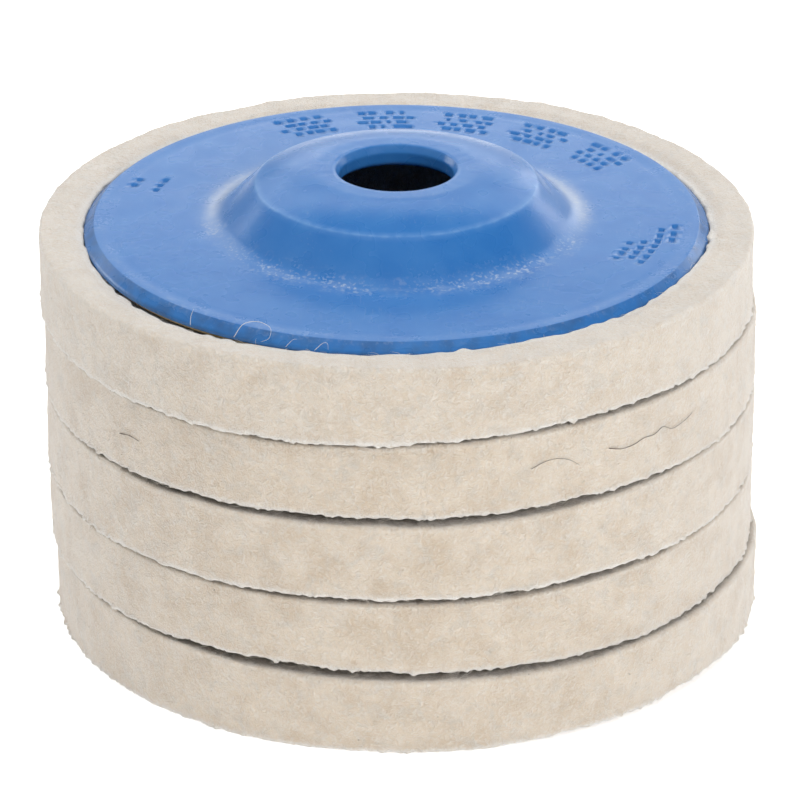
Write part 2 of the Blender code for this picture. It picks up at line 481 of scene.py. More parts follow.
def tube_faces(count, rings):
    """Corner indices and face starts for count closed tubes of triangles, each with a pointed tip."""
    sides = np.arange(3)
    ahead = (sides + 1) % 3
    quads = [np.stack([ring + sides, ring + ahead, ring + ahead + 3, ring + sides + 3], axis=-1)
             for ring in range(0, 3 * (rings - 1), 3)]
    last = 3 * (rings - 1)
    tip = np.stack([last + sides, last + ahead, np.full(3, 3 * rings)], axis=-1)
    corners = np.concatenate([*[quad.ravel() for quad in quads], tip.ravel(), [2, 1, 0]])
    sizes = np.concatenate([np.full(3 * (rings - 1), 4), np.full(4, 3)])
    offsets = np.arange(count)[:, None] * (3 * rings + 1)
    all_sizes = np.tile(sizes, count)
    return (corners + offsets).ravel(), np.concatenate([[0], np.cumsum(all_sizes)[:-1]])


def tubes_object(name, paths, thickness):
    """Tubes along paths (fibre, step, xyz). Each ring is a triangle across the path, with a pointed tip."""
    count, steps = paths.shape[:2]
    along = np.gradient(paths, axis=1)
    along /= np.linalg.norm(along, axis=2, keepdims=True)
    helper = np.where(np.abs(along[..., 2:3]) < 0.8, [0.0, 0.0, 1.0], [1.0, 0.0, 0.0])
    first = np.cross(along, helper)
    first /= np.linalg.norm(first, axis=2, keepdims=True)
    second = np.cross(along, first)
    rings = steps - 1
    turn = np.radians([0, 120, 240])[None, None, :, None]
    narrow = np.linspace(1, 0.45, rings)[None, :, None, None] * thickness[:, None, None, None]
    around = first[:, :rings, None] * np.cos(turn) + second[:, :rings, None] * np.sin(turn)
    walls = (paths[:, :rings, None] + narrow * around).reshape(count, -1, 3)
    points = np.concatenate([walls, paths[:, -1:]], axis=1).reshape(-1, 3)
    corners, starts = tube_faces(count, rings)
    return mesh_object(name, points, corners, starts)


# %% [markdown]
# A fibre grows from a random point of the felt. The grid gives that point, the direction round
# the ring, the direction along the section and, as their cross product, the direction out.


# %% Where fibres grow
def surface_directions(grid):
    """Unit vectors round the ring, along the section and out of the felt, at each point of a grid."""
    round_it = np.roll(grid, -1, axis=0) - np.roll(grid, 1, axis=0)
    along = np.roll(grid, -1, axis=1) - np.roll(grid, 1, axis=1)
    round_it /= np.linalg.norm(round_it, axis=2, keepdims=True)
    along /= np.linalg.norm(along, axis=2, keepdims=True)
    out = np.cross(along, round_it)
    return round_it, along, out / np.linalg.norm(out, axis=2, keepdims=True)


def fibre_density():
    """How likely a fibre is at each point of the section: most at the bottom edge, then rim and side."""
    radius, height = felt_outline[:, 0], felt_outline[:, 1]
    outer = smoothstep(radius, PLATE_RADIUS + 0.2, PLATE_RADIUS + 0.6)
    bottom = np.exp(-((height - 0.3) / 0.7) ** 2) * smoothstep(radius, FELT_RADIUS - 2, FELT_RADIUS)
    shoulder = np.exp(-((radius - FELT_RADIUS + 0.8) / 0.9) ** 2) * (height > FELT_TOP - 2)
    lip = np.exp(-((radius - PLATE_RADIUS - 0.5) / 0.4) ** 2) * (height > SEAT_FLOOR + 1)
    underside = 0.12 * (height < 0.1)
    steps = np.linalg.norm(np.roll(felt_outline, -1, axis=0) - felt_outline, axis=1)
    likely = (0.45 * outer + 3.2 * bottom + 1.1 * shoulder + 1.6 * lip + underside) * steps
    return likely / likely.sum()


# %% Build the fibres
FIBRES_PER_WHEEL = 3400


def fibre_paths(rng, grid, count):
    """Paths that start on the felt, lean out by a small angle, and curl sideways and back."""
    around = rng.integers(0, grid.shape[0], count)
    section = rng.choice(grid.shape[1], count, p=fibre_density())
    root = grid[around, section]
    round_it, along, out = [each[around, section] for each in surface_directions(grid)]
    heading = rng.uniform(0, 2 * np.pi, count)[:, None]
    flat = np.cos(heading) * round_it + 0.75 * np.sin(heading) * along
    lean = np.radians(np.clip(rng.gamma(2.0, 9.0, count), 3, 60))[:, None]
    length = np.clip(rng.gamma(3.0, 0.45, count), 0.5, 4.2)[:, None]
    forward = np.cos(lean) * flat + np.sin(lean) * out
    sideways = np.cross(out, flat) * rng.normal(0, 0.55, count)[:, None]
    share = np.linspace(0, 1, FIBRE_STEPS + 1)[None, :, None]
    back = (0.75 * np.sin(lean) * out)[:, None]
    straight_on = forward[:, None] * share
    curl = sideways[:, None] * share ** 2 - back * share ** 2
    return root[:, None] - 0.05 * out[:, None] + length[:, None] * (straight_on + curl)


loose_fibres = {}
for number, grid in felt_grids.items():
    rng = np.random.default_rng(200 + number)
    paths = fibre_paths(rng, grid, FIBRES_PER_WHEEL)
    paths[..., 2] = np.maximum(paths[..., 2], 0.05)
    thickness = rng.uniform(0.014, 0.030, FIBRES_PER_WHEEL)
    fuzz = tubes_object(f"loose_fibres_{number}", paths, thickness)
    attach(fuzz, f"wheel_{number}")
    loose_fibres[number] = fuzz
print("fibre faces:", sum(len(fuzz.data.polygons) for fuzz in loose_fibres.values()))

# %% [markdown]
# ## The backing plate
#
# The plate is one moulding: a flat flange with a bevelled rim and a fine groove inside it, a skirt
# that is a plain cone with a fillet at its foot, and a crowned hub round a plain bore. It is turned
# like the felt, but its section has tight corners, so those have arcs of a few short steps, and the
# wide flat stretches between them are only as fine as their slight unevenness needs.

# %% The plate's section
HUB_EDGE_ROUND = 0.25
MOUTH_DEPTH = 1.0
FLANGE_FALL = 0.35
GROOVE_RADIUS = 40.3
GROOVE_WIDTH = 0.8
GROOVE_DEPTH = 0.07


def fillet(foot, height, radius, first, last, count):
    """An arc that turns from the flat at its foot up into the skirt's slope, between two shares of it."""
    angle = SKIRT_SLOPE * (first + (last - first) * np.arange(count) / count)
    return np.stack([foot - radius * np.sin(angle), height + radius * (1 - np.cos(angle))], axis=-1)


def crown(count):
    """The hub's domed top: its fall grows with the distance from the land and with that distance squared."""
    share = np.arange(count) / count
    land = BORE_RADIUS + BORE_CHAMFER + LAND_WIDTH
    radius = land + share * (HUB_RADIUS - HUB_EDGE_ROUND - land)
    fall = CROWN_CONE_SHARE * share + (1 - CROWN_CONE_SHARE) * share ** 2
    return np.stack([radius, HUB_TOP - HUB_CROWN * fall], axis=-1)


def plate_section(mark_radii):
    """The plate's outline from the bore over hub, skirt, flange and rim, and back underneath."""
    mouth = BORE_RADIUS + BORE_CHAMFER
    shift = SKIRT_WALL / math.sin(SKIRT_SLOPE)
    inner_fillet = SKIRT_FILLET + SKIRT_WALL
    under_hub = HUB_RADIUS + (HUB_EDGE - HUB_UNDERSIDE) / math.tan(SKIRT_SLOPE) - shift
    inner_foot = HUB_RADIUS + (HUB_EDGE - PLATE_BOTTOM) / math.tan(SKIRT_SLOPE) - shift
    inner_foot += inner_fillet * math.tan(SKIRT_SLOPE / 2)
    edge_end = (HUB_RADIUS + 0.7 * HUB_EDGE_ROUND, HUB_EDGE - 0.9 * HUB_EDGE_ROUND)
    bevel_end = (PLATE_RADIUS, FLANGE_TOP - RIM_BEVEL)
    outer_arc = fillet(SKIRT_FOOT, FLANGE_TOP, SKIRT_FILLET, 1, 0, 12)
    inner_arc = fillet(inner_foot, PLATE_BOTTOM, inner_fillet, 0, 1, 6)
    flat = without_crowding(np.arange(SKIRT_FOOT, PLATE_RADIUS - RIM_BEVEL - 0.1, 0.8), mark_radii, 0.1)
    return np.concatenate([
        straight((BORE_RADIUS, HUB_TOP - MOUTH_DEPTH), (mouth, HUB_TOP - 0.08), 5),
        straight((mouth, HUB_TOP - 0.08), (mouth + 0.08, HUB_TOP), 2),
        straight((mouth + 0.08, HUB_TOP), (mouth + LAND_WIDTH, HUB_TOP), 5),
        crown(12),
        rounding((HUB_RADIUS - HUB_EDGE_ROUND, HUB_EDGE - HUB_EDGE_ROUND), HUB_EDGE_ROUND, 80, 45, 3),
        straight(edge_end, outer_arc[0], 8),
        outer_arc,
        np.stack([flat, np.full(len(flat), FLANGE_TOP)], axis=-1),
        rounding((PLATE_RADIUS - RIM_BEVEL - 0.1, FLANGE_TOP - 0.25), 0.25, 90, 45, 3),
        straight((PLATE_RADIUS - RIM_BEVEL + 0.1, FLANGE_TOP - 0.1), bevel_end, 4),
        straight(bevel_end, (PLATE_RADIUS, PLATE_BOTTOM), 3),
        straight((PLATE_RADIUS, PLATE_BOTTOM), (inner_foot, PLATE_BOTTOM), 6),
        inner_arc,
        straight(inner_arc[-1] + (inner_arc[-1] - inner_arc[-2]), (under_hub, HUB_UNDERSIDE), 4),
        straight((under_hub, HUB_UNDERSIDE), (mouth, HUB_UNDERSIDE), 6),
        straight((mouth, HUB_UNDERSIDE), (BORE_RADIUS, HUB_UNDERSIDE + BORE_CHAMFER), 3),
        straight((BORE_RADIUS, HUB_UNDERSIDE + BORE_CHAMFER), (BORE_RADIUS, HUB_TOP - MOUTH_DEPTH), 5),
    ])


# %% [markdown]
# ## Moulded marks
#
# Such a plate has marks sunk into its flange by the mould. Plain patches of small pits stand for
# them here: a patch is a few rows of pits, lined up with the plate's centre. A pit needs an upright
# wall, so the grid gets two lines close together at each of its sides, and every grid point that
# lies inside a pit is lowered.

# %% Patches of pits
PIT_DEPTH = 0.28
PIT_WALL = 0.10
BACK_PATCHES = [111.0, 92.5, 74.0, 55.5, 37.0]
PIT_ROWS = [33.6, 35.4, 37.2, 39.0]
PIT_HEIGHT = 0.8
PITS_ACROSS = 4
PIT_PITCH = 2.0
PIT_WIDTHS = (0.75, 1.45)
PIT_STEP = 0.75
PATCH_RADIUS = 37


def patch_pits(rng, middle, rows, across):
    """The pits of one patch as (first angle, last angle, inner radius, outer radius), staggered by row.

    A pit's sides lie on whole steps of PIT_STEP degrees, so that pits in different rows share lines.
    """
    pits = []
    for row, radius in enumerate(rows):
        shift = 0.25 if row % 2 else -0.25
        for column in range(across):
            offset = (column - (across - 1) / 2 + shift) * PIT_PITCH
            half = math.degrees(rng.uniform(*PIT_WIDTHS) / 2 / PATCH_RADIUS)
            angle = middle + math.degrees((offset + rng.uniform(-0.25, 0.25)) / PATCH_RADIUS)
            first, last = (PIT_STEP * round((angle + side) / PIT_STEP) for side in (-half, half))
            pits.append((first, last, radius - PIT_HEIGHT / 2, radius + PIT_HEIGHT / 2))
    return pits


def all_pits():
    """Five patches at the back of the plate, and smaller ones at its right and left."""
    rng = np.random.default_rng(50)
    pits = [pit for middle in BACK_PATCHES for pit in patch_pits(rng, middle, PIT_ROWS, PITS_ACROSS)]
    pits += patch_pits(rng, -10.0, PIT_ROWS[2:], 3)
    pits += patch_pits(rng, -20.5, PIT_ROWS[:3], 4)
    pits += patch_pits(rng, 162.0, PIT_ROWS[1:2], 3)
    pits += patch_pits(rng, 162.0, PIT_ROWS[3:], 2)
    return np.array(pits)


pits = all_pits()
print("pits in the flange:", len(pits))


# %% Grid lines on both sides of each wall
def wall_lines(edges, gap):
    """Two grid lines for each wall, half a gap to each side of it."""
    edges = np.unique(np.round(edges, 4))
    return np.unique(np.concatenate([edges - gap / 2, edges + gap / 2]))


def without_crowding(lines, fixed, least):
    """The lines that keep at least a distance from every fixed line, joined with the fixed lines."""
    distance = np.abs(lines[:, None] - fixed[None, :]).min(axis=1)
    return np.sort(np.concatenate([lines[distance > least], fixed]))


PLATE_AROUND = 300
pit_gap_degrees = math.degrees(PIT_WALL / PATCH_RADIUS)
pit_angles = wall_lines(pits[:, :2], pit_gap_degrees) % 360
plain_angles = np.arange(PLATE_AROUND) * 360 / PLATE_AROUND
plate_angles = without_crowding(plain_angles, np.unique(np.round(pit_angles, 4)), 0.25)
plate_outline = plate_section(wall_lines(pits[:, 2:], PIT_WALL))
print("plate grid:", len(plate_angles), "by", len(plate_outline))


# %% [markdown]
# The mould's flat faces come out slightly bent: on one side the flange falls by a third of a
# millimetre towards its rim, and it waves a little all round, which is what bends the reflections
# on it. The plates of the stack are turned against each other, as loose wheels are.
#
# Four numbers on each point tell the finish what to paint there: dust in the skirt's fold, a pale
# glow over that fold at its two far quarters, which is painted reflection of the lights behind, a
# pale line along the hub's edge, which is painted highlight, with some wear at the bore's mouth, and
# painted shade on the bevel and the wall of the rim. A glow is given by its middle angle, its half
# width in degrees, how far inside the skirt's foot it lies, and its width in millimetres.

# %% Build the backing plates
PLATE_TURNS = {1: 140.0, 2: 255.0, 3: 62.0, 4: 198.0, 5: 0.0}
FLANGE_WAVE = 0.05
# Painted glow: pale patches on the skirt's foot that stand for the reflection of the back lights.
SKIRT_GLOWS = [
    (152.0, 15.0, 3.2, 2.6),
    (170.0, 20.0, 0.9, 1.2),
    (28.0, 15.0, 3.2, 2.6),
    (10.0, 20.0, 0.9, 1.2),
]
PLATE_LUMPS = 0.006


def pit_depths(angle, radius):
    """How deep each grid point is sunk: PIT_DEPTH inside any pit, 0 elsewhere."""
    turned = (angle[:, None] - pits[None, :, 0]) % 360 < (pits[:, 1] - pits[:, 0])[None, :]
    between = (radius[:, None] > pits[None, :, 2]) & (radius[:, None] < pits[None, :, 3])
    return PIT_DEPTH * (turned.astype(float) @ between.T.astype(float) > 0)


def plate_grid(number):
    """The plate's points: its section round the axis, with groove, pits and slight unevenness."""
    rng = np.random.default_rng(300 + number)
    angle = np.radians(plate_angles)
    radius, height = plate_outline[:, 0], plate_outline[:, 1]
    on_top = (height > FLANGE_TOP - 0.01) & (radius > SKIRT_FOOT - 0.01)
    groove = GROOVE_DEPTH * np.exp(-((radius - GROOVE_RADIUS) / (GROOVE_WIDTH / 2)) ** 2) * on_top
    sunk = pit_depths(plate_angles, radius) * on_top
    upper = smoothstep(radius, HUB_RADIUS + 3, PLATE_RADIUS) * (height > PLATE_BOTTOM + 0.4)
    wave = FLANGE_WAVE * slow_wave(rng, angle, 4)[:, None] * upper
    outward = section_normals(plate_outline)
    relief = PLATE_LUMPS * lumps(rng, angle, length_share(plate_outline), 60, 30)
    across = radius + relief * outward[:, 0]
    out_share = np.clip((radius - SKIRT_FOOT) / (PLATE_RADIUS - SKIRT_FOOT), 0, 1)
    fall = FLANGE_FALL * out_share * np.clip((height - PLATE_BOTTOM) / FLANGE_THICKNESS, 0, 1)
    fall = fall * (0.5 - 0.5 * np.sin(angle))[:, None]
    up = height - fall - groove - sunk + wave + relief * outward[:, 1]
    turn = angle + math.radians(PLATE_TURNS[number])
    turned = [across * np.cos(turn)[:, None], across * np.sin(turn)[:, None], up]
    return np.stack(turned, axis=-1) + places[number]


def skirt_glow_share():
    """Where a pale glow is painted on the skirt's foot at the two far quarters: painted reflection of the
    lights behind.
    """
    radius, height = plate_outline[:, 0], plate_outline[:, 1]
    share = 0
    for middle, half, inside_foot, width in SKIRT_GLOWS:
        turned = (plate_angles - middle + 180) % 360 - 180
        across = np.exp(-((radius - SKIRT_FOOT + inside_foot) / width) ** 2)
        share = share + np.exp(-(turned / half) ** 2)[:, None] * across
    on_skirt = (height > FLANGE_TOP - 0.5) & (radius > HUB_RADIUS + 0.15)
    return np.clip(share, 0, 1.2) * on_skirt


def dust_share():
    """Where fluff and dust gather on a plate: in the hollow of the skirt's foot, and a little at the rim."""
    radius, height = plate_outline[:, 0], plate_outline[:, 1]
    foot = np.exp(-((radius - SKIRT_FOOT + 0.7) / 1.5) ** 2)
    rim = 0.3 * np.exp(-((radius - PLATE_RADIUS + 2.0) / 1.3) ** 2)
    return np.clip(foot + rim, 0, 1) * (height > FLANGE_TOP - 0.5)


def hub_highlight_and_wear():
    """A pale line along the hub's edge, which is painted highlight, and pale wear at the bore's mouth."""
    radius, height = plate_outline[:, 0], plate_outline[:, 1]
    hub = np.exp(-(np.hypot(radius - HUB_RADIUS, height - HUB_EDGE) / 0.22) ** 2)
    mouth = 0.5 * np.exp(-(np.hypot(radius - BORE_RADIUS, height - HUB_TOP) / 0.5) ** 2)
    return hub + mouth


def rim_share():
    """1 on the bevel and the wall of the rim, which the finish darkens as painted shade, 0 elsewhere."""
    return (plate_outline[:, 0] > PLATE_RADIUS - RIM_BEVEL) * (plate_outline[:, 1] > PLATE_BOTTOM)


plates = {}
for number in places:
    grid = plate_grid(number)
    plate = ring_object(f"moulded_plate_{number}", grid)
    marks = {"dust": dust_share(), "painted_glow": skirt_glow_share(), "highlight_and_wear": hub_highlight_and_wear(), "rim": rim_share()}
    for name, values in marks.items():
        add_number(plate, name, np.broadcast_to(values, grid.shape[:2]))
    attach(plate, f"wheel_{number}")
    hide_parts(f"backing_plate_{number}")
    plates[number] = plate
print("plate faces:", sum(len(plate.data.polygons) for plate in plates.values()))

# %% [markdown]
# ## The glue
#
# Contact glue holds the felt to the flange. Only its inner edge can be seen, from below, where it
# has crept out unevenly round the felt's hole. It is a flat ring with rounded, wavy edges.

# %% Build the glue layers
GLUE_AROUND = 240
GLUE_CREEP = 0.45


def glue_grid(number):
    """A thin ring whose inner edge wanders by a few tenths of a millimetre."""
    rng = np.random.default_rng(400 + number)
    angle = np.arange(GLUE_AROUND) / GLUE_AROUND * 2 * np.pi
    half = (GLUE_TOP - GLUE_BOTTOM) / 2
    middle = GLUE_BOTTOM + half
    inner = FELT_HOLE + 0.6
    outline = np.concatenate([
        straight((inner, GLUE_TOP), (GLUE_RADIUS - half, GLUE_TOP), 6),
        rounding((GLUE_RADIUS - half, middle), half, 90, -90, 6),
        straight((GLUE_RADIUS - half, GLUE_BOTTOM), (inner, GLUE_BOTTOM), 6),
        rounding((inner, middle), half, 270, 90, 6),
    ])
    near_hole = smoothstep(-outline[:, 0], -inner - 3, -inner)
    creep = GLUE_CREEP * (slow_wave(rng, angle, 24) - 0.3)[:, None] * near_hole
    across = outline[:, 0] - creep
    up = np.broadcast_to(outline[:, 1], across.shape)
    turned = [across * np.cos(angle)[:, None], across * np.sin(angle)[:, None], up]
    return np.stack(turned, axis=-1) + places[number]


glue_layers = {}
for number in places:
    glue = ring_object(f"glue_film_{number}", glue_grid(number))
    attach(glue, f"wheel_{number}")
    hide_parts(f"glue_layer_{number}")
    glue_layers[number] = glue
print("glue layers:", len(glue_layers))

# %% [markdown]
# ## Stray hairs
#
# A few coarse hairs are caught in the wool: dark ones that lie against the side of the fourth
# felt, and pale ones that curl over the rim of the top plate. Each is given by a few points and has
# a smooth curve through them. A dark hair's points are angle, height and how far it stands off the
# felt, so that it follows the felt's own lumps. A pale hair's points are angle, radius and height.

# %% Hairs along listed points
HAIR_STEPS = 40
DARK_HAIRS = [
    (4, 0.050, [(-69.5, 6.0, 0.08), (-67.4, 6.7, 0.14), (-65.2, 6.9, 0.16), (-63.2, 6.4, 0.14),
                (-61.2, 5.2, 0.08)]),
    (4, 0.060, [(-55.8, 6.5, 0.08), (-53.5, 5.9, 0.12), (-51.4, 5.9, 0.14), (-49.0, 6.4, 0.12),
                (-46.8, 6.3, 0.12), (-44.8, 6.9, 0.14), (-42.6, 6.0, 0.14), (-40.2, 6.2, 0.14),
                (-37.2, 6.9, 0.10)]),
    (4, 0.080, [(-139.5, 4.6, 0.1), (-137.5, 4.9, 0.14), (-135.0, 4.7, 0.1)]),
]
PALE_HAIRS = [
    (5, 0.045, [(-119.3, 44.4, 10.1), (-118.4, 43.2, 11.6), (-116.6, 42.3, 12.0), (-114.4, 42.3, 11.9),
                (-112.9, 43.0, 11.6), (-112.8, 43.9, 10.7), (-114.0, 44.6, 10.3)]),
    (5, 0.040, [(-128.6, 44.4, 10.1), (-129.3, 43.6, 11.0), (-129.8, 42.6, 11.6)]),
    (5, 0.032, [(-109.4, 44.4, 10.1), (-108.4, 43.6, 10.9), (-107.6, 43.5, 11.0)]),
    (5, 0.035, [(-104.2, 44.4, 10.1), (-103.0, 43.4, 10.8), (-102.2, 43.4, 10.8), (-101.8, 44.2, 10.3)]),
]


def curve_through(points, count):
    """A smooth path through the points: each stretch is a cubic with its slopes taken from its neighbours."""
    points = np.array(points, float)
    slope = np.gradient(points, axis=0)
    place = np.linspace(0, len(points) - 1, count)
    i = np.minimum(place.astype(int), len(points) - 2)
    t = (place - i)[:, None]
    start, end = points[i], points[i + 1]
    return ((1 + 2 * t) * (1 - t) ** 2 * start + t * (1 - t) ** 2 * slope[i]
            + t ** 2 * (3 - 2 * t) * end + t ** 2 * (t - 1) * slope[i + 1])


def side_radius(number, degrees, height):
    """The felt's outer radius at an angle and a height, read off its grid."""
    column = int(round((degrees % 360) / 360 * FELT_AROUND)) % FELT_AROUND
    local = felt_grids[number][column] - places[number]
    side = (felt_outline[:, 0] > FELT_RADIUS - 0.01) & (felt_outline[:, 1] > EDGE_ROUND_BOTTOM - 0.01)
    order = np.argsort(local[side][:, 2])
    return np.interp(height, local[side][order, 2], np.hypot(local[side][order, 0], local[side][order, 1]))


def turned_path(radius, degrees, height, place):
    """Points at these radii, angles and heights of a wheel, in the stack's space."""
    angle = np.radians(degrees)
    return np.stack([radius * np.cos(angle), radius * np.sin(angle), height], axis=-1) + place


def dark_hair(index, number, thickness, points):
    """A hair that lies on the side of a felt, lifted off it by its own third number."""
    path = curve_through(points, HAIR_STEPS)
    on_felt = np.array([side_radius(number, degrees, height) for degrees, height, lift in path])
    spread = turned_path(on_felt + path[:, 2], path[:, 0], path[:, 1], places[number])
    hair = tubes_object(f"dark_hair_{index}", spread[None], np.array([thickness]))
    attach(hair, f"wheel_{number}")
    return hair


def pale_hair(index, number, thickness, points):
    """A hair that stands free of the felt, through points given by angle, radius and height."""
    path = curve_through(points, HAIR_STEPS)
    spread = turned_path(path[:, 1], path[:, 0], path[:, 2], places[number])
    hair = tubes_object(f"pale_hair_{index}", spread[None], np.array([thickness]))
    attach(hair, f"wheel_{number}")
    return hair


dark_hairs = [dark_hair(i + 1, *hair) for i, hair in enumerate(DARK_HAIRS)]
pale_hairs = [pale_hair(i + 1, *hair) for i, hair in enumerate(PALE_HAIRS)]
print("hairs:", len(dark_hairs) + len(pale_hairs))

# %% [markdown]
# ## Finishes
#
# Every finish is built from noise in the object's own space, so it goes round each piece without
# a seam and has the same grain on all of them. The helpers below keep the node trees short: one
# starts a material, one adds a noise pattern, and others blend two colours or join two numbers.


# %% Helpers for finishes
def new_finish(name):
    """A material with its node tree, its main shader and its object coordinates."""
    material = bpy.data.materials.new(name)
    material.use_nodes = True
    tree = material.node_tree
    shader = tree.nodes["Principled BSDF"]
    space = tree.nodes.new("ShaderNodeTexCoord").outputs["Object"]
    return material, tree, shader, space


def noise(tree, space, size_mm, detail=2.0, distortion=0.0):
    """A noise pattern whose patches are about size_mm across, as a number from 0 to 1."""
    node = tree.nodes.new("ShaderNodeTexNoise")
    node.inputs["Scale"].default_value = 1 / (size_mm * MM)
    node.inputs["Detail"].default_value = detail
    node.inputs["Distortion"].default_value = distortion
    tree.links.new(space, node.inputs["Vector"])
    return node.outputs["Fac"]


def between(tree, value, low, high, new_low=0.0, new_high=1.0):
    """The value mapped from one range to another, and held at its ends."""
    node = tree.nodes.new("ShaderNodeMapRange")
    for name, number in (("From Min", low), ("From Max", high), ("To Min", new_low), ("To Max", new_high)):
        node.inputs[name].default_value = number
    tree.links.new(value, node.inputs["Value"])
    return node.outputs["Result"]


def blend_colours(tree, share, first, second, mode="MIX"):
    """The first colour blended towards the second by a share. A colour is a socket or a tuple."""
    node = tree.nodes.new("ShaderNodeMix")
    node.data_type = "RGBA"
    node.blend_type = mode
    tree.links.new(share, node.inputs["Factor"])
    for socket, colour in ((node.inputs["A"], first), (node.inputs["B"], second)):
        if isinstance(colour, tuple):
            socket.default_value = (*colour, 1)
        else:
            tree.links.new(colour, socket)
    return node.outputs["Result"]


def combine(tree, operation, first, second):
    """Two numbers joined by a sum, a product or another operation. Each is a socket or a number."""
    node = tree.nodes.new("ShaderNodeMath")
    node.operation = operation
    for socket, value in zip(node.inputs, (first, second)):
        if isinstance(value, (int, float)):
            socket.default_value = value
        else:
            tree.links.new(value, socket)
    return node.outputs["Value"]


def read_number(tree, name):
    """The number that a piece stores on its points under this name."""
    node = tree.nodes.new("ShaderNodeAttribute")
    node.attribute_name = name
    return node.outputs["Fac"]


def raise_bumps(tree, shader, height, depth_mm, strength=1.0):
    """Tilts the surface's shading as if the pattern stood depth_mm high."""
    node = tree.nodes.new("ShaderNodeBump")
    node.inputs["Strength"].default_value = strength
    node.inputs["Distance"].default_value = depth_mm * MM
    tree.links.new(height, node.inputs["Height"])
    tree.links.new(node.outputs["Normal"], shader.inputs["Normal"])


# %% [markdown]
# ### Wool felt
#
# Undyed wool is a warm cream, with greyer and yellower patches where different fleeces are mixed,
# and a few dark specks. Close up it is a mat of fibres, which distorted noise resembles. Sheen
# stands for the fuzz that catches light at grazing angles, and the cut edges are paler. The top
# rim and the top wheel are painted a little lighter, as painted light, and the faces inside the
# seams are painted dark, as painted shade.

# %% The felt's finish
CREAM = (0.765, 0.648, 0.512)
WARM_FLEECE = (0.66, 0.53, 0.39)
GREY_FLEECE = (0.62, 0.56, 0.48)
# Pale wool: the colour of loose fibres, also used as painted light on the top rim and the top wheel.
PALE_WOOL_AND_LIGHT = (0.87, 0.83, 0.77)
# Painted shade: the dark brown that stands for the shadow inside the seams.
SEAM_SHADE_WOOL = (0.20, 0.145, 0.09)
DARK_SPECK = (0.22, 0.17, 0.12)


def felt_finish():
    """Cream wool: patches of three sizes, a fibre mat, pale edges, painted light on the top rim and top
    wheel, painted seam shade, rare specks and a soft sheen.
    """
    material, tree, shader, space = new_finish("wool_felt")
    warm = between(tree, noise(tree, space, 5, 4, 0.5), 0.42, 0.66)
    colour = blend_colours(tree, warm, CREAM, WARM_FLEECE)
    grey = between(tree, noise(tree, space, 2.2, 3, 0.8), 0.5, 0.75, 0, 0.7)
    colour = blend_colours(tree, grey, colour, GREY_FLEECE)
    mat = noise(tree, space, 0.75, 4, 1.8)
    colour = blend_colours(tree, between(tree, mat, 0.45, 0.75, 0, 0.55), colour, PALE_WOOL_AND_LIGHT)
    hollow = between(tree, noise(tree, space, 1.3, 3, 1.0), 0.36, 0.22, 0, 0.45)
    colour = blend_colours(tree, hollow, colour, WARM_FLEECE, "MULTIPLY")
    # Pale cut edges, with painted light on the top rim and over the top wheel.
    pale_and_lit = combine(tree, "MULTIPLY", read_number(tree, "pale_edge_and_light"), between(tree, mat, 0.25, 0.6, 0.35, 1))
    colour = blend_colours(tree, pale_and_lit, colour, PALE_WOOL_AND_LIGHT)
    # Painted shade: near the rim, the faces inside a seam are darkened towards dark brown, for the shadow in
    # the gap.
    uneven = between(tree, noise(tree, space, 1.5, 3), 0.38, 0.62, 1, 0.45)
    seam_darkening = combine(tree, "MULTIPLY", read_number(tree, "seam_shade"), uneven)
    colour = blend_colours(tree, seam_darkening, colour, SEAM_SHADE_WOOL)
    speck = between(tree, noise(tree, space, 0.9, 1), 0.80, 0.84, 0, 0.7)
    colour = blend_colours(tree, speck, colour, DARK_SPECK)
    tree.links.new(colour, shader.inputs["Base Color"])
    shader.inputs["Roughness"].default_value = 0.95
    shader.inputs["Specular IOR Level"].default_value = 0.2
    shader.inputs["Sheen Weight"].default_value = 1.0
    shader.inputs["Sheen Roughness"].default_value = 0.5
    shader.inputs["Sheen Tint"].default_value = (1, 1, 1, 1)
    fibres = combine(tree, "ADD", mat, combine(tree, "MULTIPLY", noise(tree, space, 0.28, 3, 2.5), 0.6))
    raise_bumps(tree, shader, fibres, 0.32)
    return material


def fibre_finish():
    """Single wool fibres: pale cream, a little brighter than the mat that they stand out of."""
    material, tree, shader, space = new_finish("wool_fibre")
    shade = between(tree, noise(tree, space, 4, 1), 0.35, 0.65)
    colour = blend_colours(tree, shade, (0.80, 0.72, 0.61), (0.88, 0.83, 0.75))
    tree.links.new(colour, shader.inputs["Base Color"])
    shader.inputs["Roughness"].default_value = 0.7
    shader.inputs["Sheen Weight"].default_value = 0.3
    return material


wool_felt = felt_finish()
wool_fibre = fibre_finish()
for number in places:
    felt_rings[number].data.materials.append(wool_felt)
    loose_fibres[number].data.materials.append(wool_fibre)
for hair in pale_hairs:
    hair.data.materials.append(wool_fibre)
print("felt finish nodes:", len(wool_felt.node_tree.nodes))

# %% [markdown]
# ### Blue moulded plastic
#
# The plates are a mid-blue, slightly translucent-looking plastic with a satin face. Handling has
# left a cloudy bloom, fine pale scuffs, and wool dust in the hollow at the skirt's foot. Dust and
# scuffs are rougher than clean plastic, so they change the roughness as well as the colour.

# %% The plate's finish
DEEP_BLUE = (0.024, 0.155, 0.450)
CLOUDY_BLUE = (0.036, 0.178, 0.475)
# Pale blue for the painted highlight on the hub's edge and for wear at the bore's mouth.
LIT_AND_WORN_BLUE = (0.22, 0.40, 0.68)
# Painted shade for the rim's bevel and wall.
RIM_SHADE_BLUE = (0.035, 0.085, 0.20)
# Pale dust colour, also used for the painted glow on the skirt.
DUST_AND_GLOW = (0.62, 0.66, 0.70)


